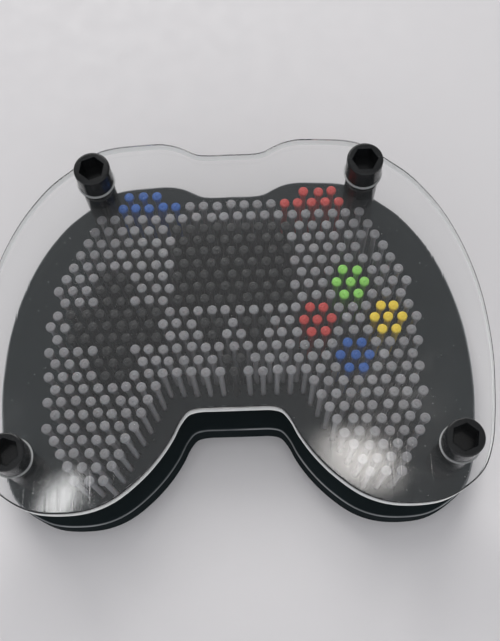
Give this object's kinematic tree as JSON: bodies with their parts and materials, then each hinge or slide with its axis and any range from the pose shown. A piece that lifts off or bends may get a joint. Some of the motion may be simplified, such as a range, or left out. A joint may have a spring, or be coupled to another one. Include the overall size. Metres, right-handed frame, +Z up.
{
  "type": "pin art impression toy",
  "caption": "Game-controller-shaped pin art toy: a clear cover on four posts over a black base, with rows of sliding plastic pins.",
  "frame": {"origin": "centre of the underside, where the toy stands", "axes": "+X to the right hand grip, +Y away from the grips, +Z up along the pins"},
  "size_m": [0.1642, 0.1248, 0.0544],
  "materials": {
    "base_black": "gloss",
    "plate_charcoal": "satin",
    "cover_clear": "clear gloss",
    "hardware_black": "gloss",
    "nut_steel": "plain",
    "pin_grey": "satin",
    "pin_black": "gloss",
    "pin_blue": "satin",
    "pin_red": "satin",
    "pin_green": "satin",
    "pin_yellow": "satin"
  },
  "bodies": {
    "frame": {"base_shell": "base_black", "back_plate": "plate_charcoal", "cover": "cover_clear", "spacer_post_rear_left": "hardware_black", "cap_screw_rear_left": "hardware_black", "nut_rear_left": "nut_steel", "spacer_post_rear_right": "hardware_black", "cap_screw_rear_right": "hardware_black", "nut_rear_right": "nut_steel", "spacer_post_front_left": "hardware_black", "cap_screw_front_left": "hardware_black", "nut_front_left": "nut_steel", "spacer_post_front_right": "hardware_black", "cap_screw_front_right": "hardware_black", "nut_front_right": "nut_steel"},
    "pins_left_bumper": {"pins_left_bumper": "pin_blue"},
    "pins_right_bumper": {"pins_right_bumper": "pin_red"},
    "pins_touch_pad": {"pins_touch_pad": "pin_black"},
    "pins_direction_pad": {"pins_direction_pad": "pin_black"},
    "pins_view_key": {"pins_view_key": "pin_black"},
    "pins_menu_key": {"pins_menu_key": "pin_black"},
    "pins_home_key": {"pins_home_key": "pin_black"},
    "pins_rear_left": {"pins_rear_left": "pin_grey"},
    "pins_rear_centre": {"pins_rear_centre": "pin_grey"},
    "pins_rear_right": {"pins_rear_right": "pin_grey"},
    "pins_middle_left": {"pins_middle_left": "pin_grey"},
    "pins_middle_centre": {"pins_middle_centre": "pin_grey"},
    "pins_middle_right": {"pins_middle_right": "pin_grey"},
    "pins_left_grip": {"pins_left_grip": "pin_grey"},
    "pins_right_grip": {"pins_right_grip": "pin_grey"},
    "pin_green_1": {"pin_green_1": "pin_green"},
    "pin_green_2": {"pin_green_2": "pin_green"},
    "pin_green_3": {"pin_green_3": "pin_green"},
    "pin_green_4": {"pin_green_4": "pin_green"},
    "pin_green_5": {"pin_green_5": "pin_green"},
    "pin_green_6": {"pin_green_6": "pin_green"},
    "pin_green_7": {"pin_green_7": "pin_green"},
    "pin_yellow_1": {"pin_yellow_1": "pin_yellow"},
    "pin_yellow_2": {"pin_yellow_2": "pin_yellow"},
    "pin_yellow_3": {"pin_yellow_3": "pin_yellow"},
    "pin_yellow_4": {"pin_yellow_4": "pin_yellow"},
    "pin_yellow_5": {"pin_yellow_5": "pin_yellow"},
    "pin_yellow_6": {"pin_yellow_6": "pin_yellow"},
    "pin_yellow_7": {"pin_yellow_7": "pin_yellow"},
    "pin_blue_1": {"pin_blue_1": "pin_blue"},
    "pin_blue_2": {"pin_blue_2": "pin_blue"},
    "pin_blue_3": {"pin_blue_3": "pin_blue"},
    "pin_blue_4": {"pin_blue_4": "pin_blue"},
    "pin_blue_5": {"pin_blue_5": "pin_blue"},
    "pin_blue_6": {"pin_blue_6": "pin_blue"},
    "pin_blue_7": {"pin_blue_7": "pin_blue"},
    "pin_red_1": {"pin_red_1": "pin_red"},
    "pin_red_2": {"pin_red_2": "pin_red"},
    "pin_red_3": {"pin_red_3": "pin_red"},
    "pin_red_4": {"pin_red_4": "pin_red"},
    "pin_red_5": {"pin_red_5": "pin_red"},
    "pin_red_6": {"pin_red_6": "pin_red"},
    "pin_red_7": {"pin_red_7": "pin_red"}
  },
  "joints": [
    {"name": "pins_left_bumper_slide", "type": "slide", "parent": "frame", "child": "pins_left_bumper", "axis": [0, 0, 1], "range_m": [-0.0252, 0.0006]},
    {"name": "pins_right_bumper_slide", "type": "slide", "parent": "frame", "child": "pins_right_bumper", "axis": [0, 0, 1], "range_m": [-0.0252, 0.0006]},
    {"name": "pins_touch_pad_slide", "type": "slide", "parent": "frame", "child": "pins_touch_pad", "axis": [0, 0, 1], "range_m": [-0.0252, 0.0006]},
    {"name": "pins_direction_pad_slide", "type": "slide", "parent": "frame", "child": "pins_direction_pad", "axis": [0, 0, 1], "range_m": [-0.0252, 0.0006]},
    {"name": "pins_view_key_slide", "type": "slide", "parent": "frame", "child": "pins_view_key", "axis": [0, 0, 1], "range_m": [-0.0252, 0.0006]},
    {"name": "pins_menu_key_slide", "type": "slide", "parent": "frame", "child": "pins_menu_key", "axis": [0, 0, 1], "range_m": [-0.0252, 0.0006]},
    {"name": "pins_home_key_slide", "type": "slide", "parent": "frame", "child": "pins_home_key", "axis": [0, 0, 1], "range_m": [-0.0252, 0.0006]},
    {"name": "pins_rear_left_slide", "type": "slide", "parent": "frame", "child": "pins_rear_left", "axis": [0, 0, 1], "range_m": [-0.0252, 0.0006]},
    {"name": "pins_rear_centre_slide", "type": "slide", "parent": "frame", "child": "pins_rear_centre", "axis": [0, 0, 1], "range_m": [-0.0252, 0.0006]},
    {"name": "pins_rear_right_slide", "type": "slide", "parent": "frame", "child": "pins_rear_right", "axis": [0, 0, 1], "range_m": [-0.0252, 0.0006]},
    {"name": "pins_middle_left_slide", "type": "slide", "parent": "frame", "child": "pins_middle_left", "axis": [0, 0, 1], "range_m": [-0.0252, 0.0006]},
    {"name": "pins_middle_centre_slide", "type": "slide", "parent": "frame", "child": "pins_middle_centre", "axis": [0, 0, 1], "range_m": [-0.0252, 0.0006]},
    {"name": "pins_middle_right_slide", "type": "slide", "parent": "frame", "child": "pins_middle_right", "axis": [0, 0, 1], "range_m": [-0.0252, 0.0006]},
    {"name": "pins_left_grip_slide", "type": "slide", "parent": "frame", "child": "pins_left_grip", "axis": [0, 0, 1], "range_m": [-0.0252, 0.0006]},
    {"name": "pins_right_grip_slide", "type": "slide", "parent": "frame", "child": "pins_right_grip", "axis": [0, 0, 1], "range_m": [-0.0252, 0.0006]},
    {"name": "pin_green_1_slide", "type": "slide", "parent": "frame", "child": "pin_green_1", "axis": [0, 0, 1], "range_m": [-0.0252, 0.0006]},
    {"name": "pin_green_2_slide", "type": "slide", "parent": "frame", "child": "pin_green_2", "axis": [0, 0, 1], "range_m": [-0.0252, 0.0006]},
    {"name": "pin_green_3_slide", "type": "slide", "parent": "frame", "child": "pin_green_3", "axis": [0, 0, 1], "range_m": [-0.0252, 0.0006]},
    {"name": "pin_green_4_slide", "type": "slide", "parent": "frame", "child": "pin_green_4", "axis": [0, 0, 1], "range_m": [-0.0252, 0.0006]},
    {"name": "pin_green_5_slide", "type": "slide", "parent": "frame", "child": "pin_green_5", "axis": [0, 0, 1], "range_m": [-0.0252, 0.0006]},
    {"name": "pin_green_6_slide", "type": "slide", "parent": "frame", "child": "pin_green_6", "axis": [0, 0, 1], "range_m": [-0.0252, 0.0006]},
    {"name": "pin_green_7_slide", "type": "slide", "parent": "frame", "child": "pin_green_7", "axis": [0, 0, 1], "range_m": [-0.0252, 0.0006]},
    {"name": "pin_yellow_1_slide", "type": "slide", "parent": "frame", "child": "pin_yellow_1", "axis": [0, 0, 1], "range_m": [-0.0252, 0.0006]},
    {"name": "pin_yellow_2_slide", "type": "slide", "parent": "frame", "child": "pin_yellow_2", "axis": [0, 0, 1], "range_m": [-0.0252, 0.0006]},
    {"name": "pin_yellow_3_slide", "type": "slide", "parent": "frame", "child": "pin_yellow_3", "axis": [0, 0, 1], "range_m": [-0.0252, 0.0006]},
    {"name": "pin_yellow_4_slide", "type": "slide", "parent": "frame", "child": "pin_yellow_4", "axis": [0, 0, 1], "range_m": [-0.0252, 0.0006]},
    {"name": "pin_yellow_5_slide", "type": "slide", "parent": "frame", "child": "pin_yellow_5", "axis": [0, 0, 1], "range_m": [-0.0252, 0.0006]},
    {"name": "pin_yellow_6_slide", "type": "slide", "parent": "frame", "child": "pin_yellow_6", "axis": [0, 0, 1], "range_m": [-0.0252, 0.0006]},
    {"name": "pin_yellow_7_slide", "type": "slide", "parent": "frame", "child": "pin_yellow_7", "axis": [0, 0, 1], "range_m": [-0.0252, 0.0006]},
    {"name": "pin_blue_1_slide", "type": "slide", "parent": "frame", "child": "pin_blue_1", "axis": [0, 0, 1], "range_m": [-0.0252, 0.0006]},
    {"name": "pin_blue_2_slide", "type": "slide", "parent": "frame", "child": "pin_blue_2", "axis": [0, 0, 1], "range_m": [-0.0252, 0.0006]},
    {"name": "pin_blue_3_slide", "type": "slide", "parent": "frame", "child": "pin_blue_3", "axis": [0, 0, 1], "range_m": [-0.0252, 0.0006]},
    {"name": "pin_blue_4_slide", "type": "slide", "parent": "frame", "child": "pin_blue_4", "axis": [0, 0, 1], "range_m": [-0.0252, 0.0006]},
    {"name": "pin_blue_5_slide", "type": "slide", "parent": "frame", "child": "pin_blue_5", "axis": [0, 0, 1], "range_m": [-0.0252, 0.0006]},
    {"name": "pin_blue_6_slide", "type": "slide", "parent": "frame", "child": "pin_blue_6", "axis": [0, 0, 1], "range_m": [-0.0252, 0.0006]},
    {"name": "pin_blue_7_slide", "type": "slide", "parent": "frame", "child": "pin_blue_7", "axis": [0, 0, 1], "range_m": [-0.0252, 0.0006]},
    {"name": "pin_red_1_slide", "type": "slide", "parent": "frame", "child": "pin_red_1", "axis": [0, 0, 1], "range_m": [-0.0252, 0.0006]},
    {"name": "pin_red_2_slide", "type": "slide", "parent": "frame", "child": "pin_red_2", "axis": [0, 0, 1], "range_m": [-0.0252, 0.0006]},
    {"name": "pin_red_3_slide", "type": "slide", "parent": "frame", "child": "pin_red_3", "axis": [0, 0, 1], "range_m": [-0.0252, 0.0006]},
    {"name": "pin_red_4_slide", "type": "slide", "parent": "frame", "child": "pin_red_4", "axis": [0, 0, 1], "range_m": [-0.0252, 0.0006]},
    {"name": "pin_red_5_slide", "type": "slide", "parent": "frame", "child": "pin_red_5", "axis": [0, 0, 1], "range_m": [-0.0252, 0.0006]},
    {"name": "pin_red_6_slide", "type": "slide", "parent": "frame", "child": "pin_red_6", "axis": [0, 0, 1], "range_m": [-0.0252, 0.0006]},
    {"name": "pin_red_7_slide", "type": "slide", "parent": "frame", "child": "pin_red_7", "axis": [0, 0, 1], "range_m": [-0.0252, 0.0006]}
  ]
}
